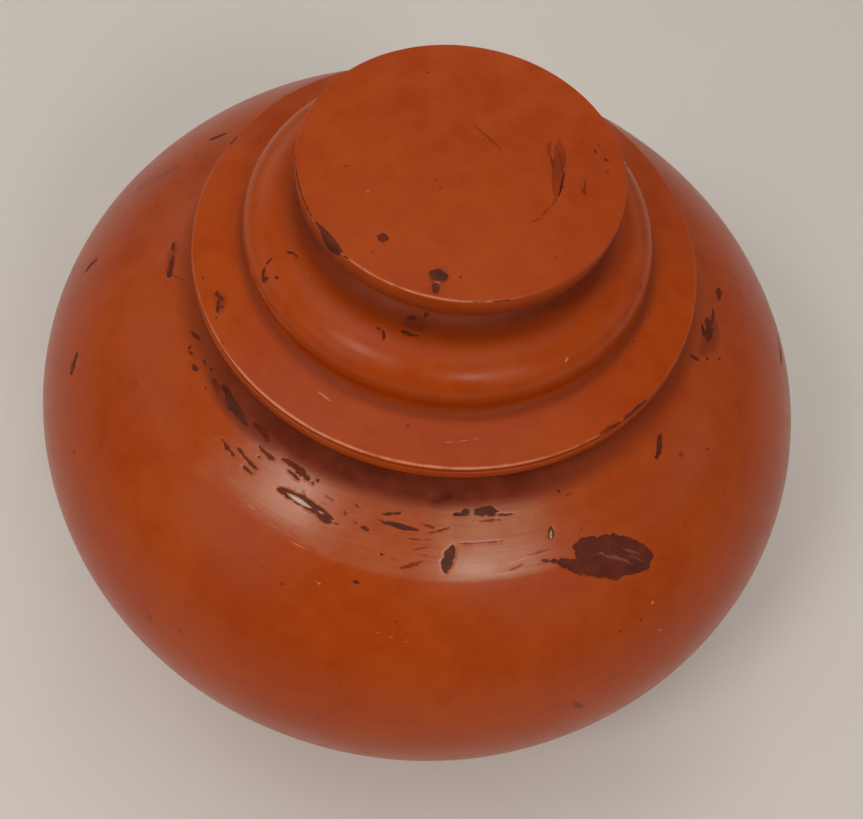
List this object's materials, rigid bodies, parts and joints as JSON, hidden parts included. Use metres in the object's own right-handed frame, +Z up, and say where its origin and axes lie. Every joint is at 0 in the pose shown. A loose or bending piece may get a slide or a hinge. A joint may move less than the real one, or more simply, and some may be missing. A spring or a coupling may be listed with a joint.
{
  "type": "lidded lacquer jar",
  "caption": "Squat round lacquer jar on a foot ring, with an everted mouth rim and a lift-off brimmed lid that steps up through a round moulding to a flat disc knob.",
  "frame": {"origin": "centre of the foot ring on the surface that the jar stands on", "axes": "+Z up along the turning axis, through the middle of the mouth and the lid's knob; X and Y are free, because every piece is turned"},
  "size_m": [0.224, 0.224, 0.1779],
  "materials": {
    "orange_lacquer": "worn satin orange-red lacquer over a dark ground",
    "dark_lacquer": "plain dark brown lacquer, satin"
  },
  "bodies": {
    "jar": {"foot_ring": "orange_lacquer", "base_disc": "dark_lacquer", "lower_shell": "orange_lacquer", "upper_shell": "orange_lacquer", "neck_ring": "orange_lacquer", "mouth_rim": "orange_lacquer"},
    "lid": {"lid_flange": "orange_lacquer", "lid_spigot": "dark_lacquer", "lid_moulding": "orange_lacquer", "lid_post": "orange_lacquer", "lid_top_disc": "orange_lacquer"}
  },
  "joints": [
    {"name": "lid_lift", "type": "slide", "parent": "jar", "child": "lid", "axis": [0, 0, 1], "range_m": [0, 0.12]}
  ]
}
